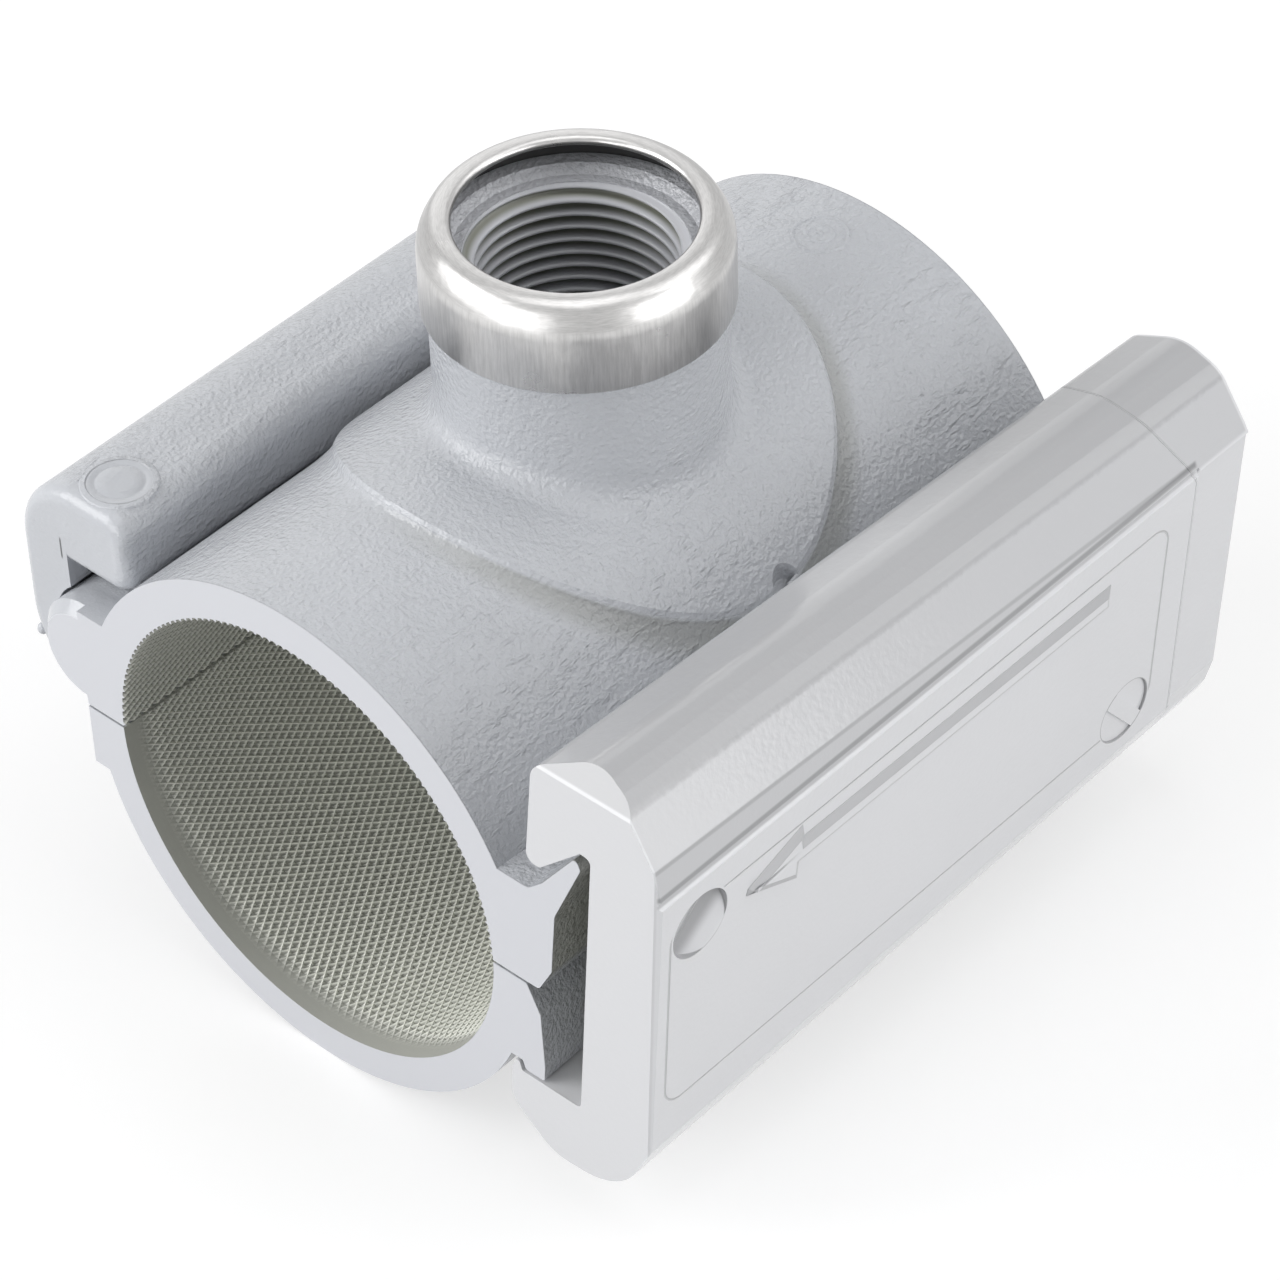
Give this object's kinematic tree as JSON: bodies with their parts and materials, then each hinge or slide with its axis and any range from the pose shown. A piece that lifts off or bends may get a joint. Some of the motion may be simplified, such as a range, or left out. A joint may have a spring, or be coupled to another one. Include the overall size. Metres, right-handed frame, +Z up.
{
  "type": "tapping saddle",
  "caption": "Hinged tapping saddle: two hinged half barrels that close round a plastic pipe, locked by a driven wedge, with a threaded outlet and a steel collar",
  "frame": {"origin": "where the axis of the outlet meets the axis of the pipe", "axes": "+Y runs along the pipe, away from the end that the wedge is driven on towards; +X points to the locking wedge; +Z points up the outlet"},
  "size_m": [0.1055, 0.1053, 0.0973],
  "materials": {
    "shell_plastic": "moulded grey PVC, softly pebbled",
    "wedge_plastic": "moulded light grey PVC, glossy",
    "collar_steel": "satin stainless",
    "seal_rubber": "matte"
  },
  "bodies": {
    "saddle": {"upper_shell": "shell_plastic", "lower_shell": "shell_plastic", "outlet_collar": "collar_steel", "outlet_seal": "seal_rubber"},
    "wedge": {"locking_wedge": "wedge_plastic"}
  },
  "joints": [
    {"name": "wedge_slide", "type": "slide", "parent": "saddle", "child": "wedge", "axis": [0, 1, 0], "range_m": [0, 0.105]}
  ]
}
